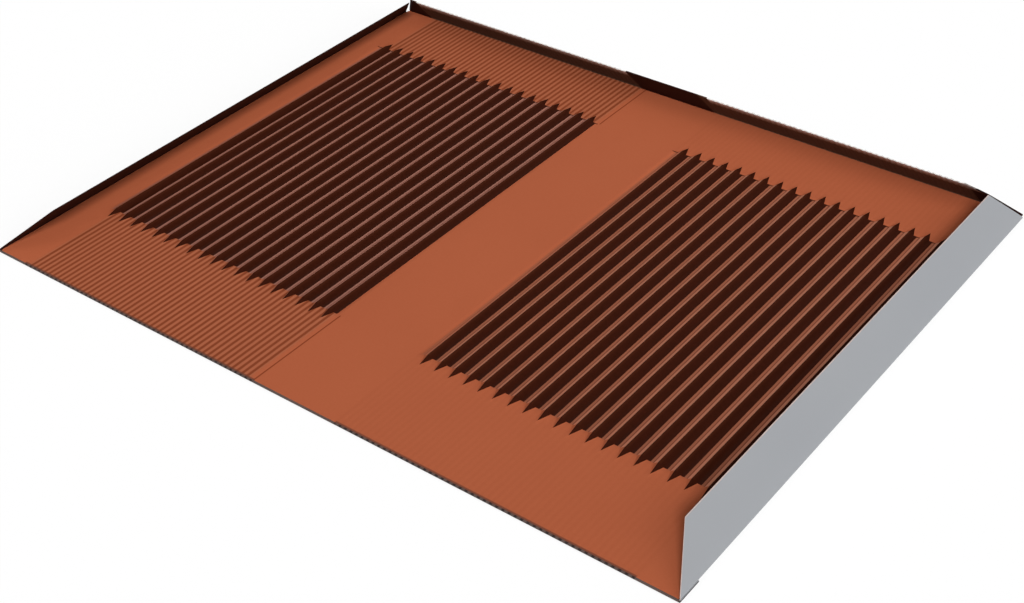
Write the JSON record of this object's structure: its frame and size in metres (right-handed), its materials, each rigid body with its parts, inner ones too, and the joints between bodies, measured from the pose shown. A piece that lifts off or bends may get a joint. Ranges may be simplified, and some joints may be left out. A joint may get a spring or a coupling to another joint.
{
  "type": "solar roof tile",
  "caption": "Folded sheet-metal roof tile with banks of long sawtooth ribs, inward-leaning side and back flanges and a hemmed front edge.",
  "frame": {"origin": "under the middle of the tile's outline, at the level of the hem's underside", "axes": "+X across the width, towards the right side fold; +Y up the slope of the roof, from the hemmed front edge to the back fold; +Z out of the face, square to the plate"},
  "size_m": [0.42, 0.3306, 0.0187],
  "materials": {
    "coated_sheet": "satin terracotta coating on the face, pale grey coating on the back"
  },
  "bodies": {
    "root": {"tile_sheet": "coated_sheet"}
  },
  "joints": []
}
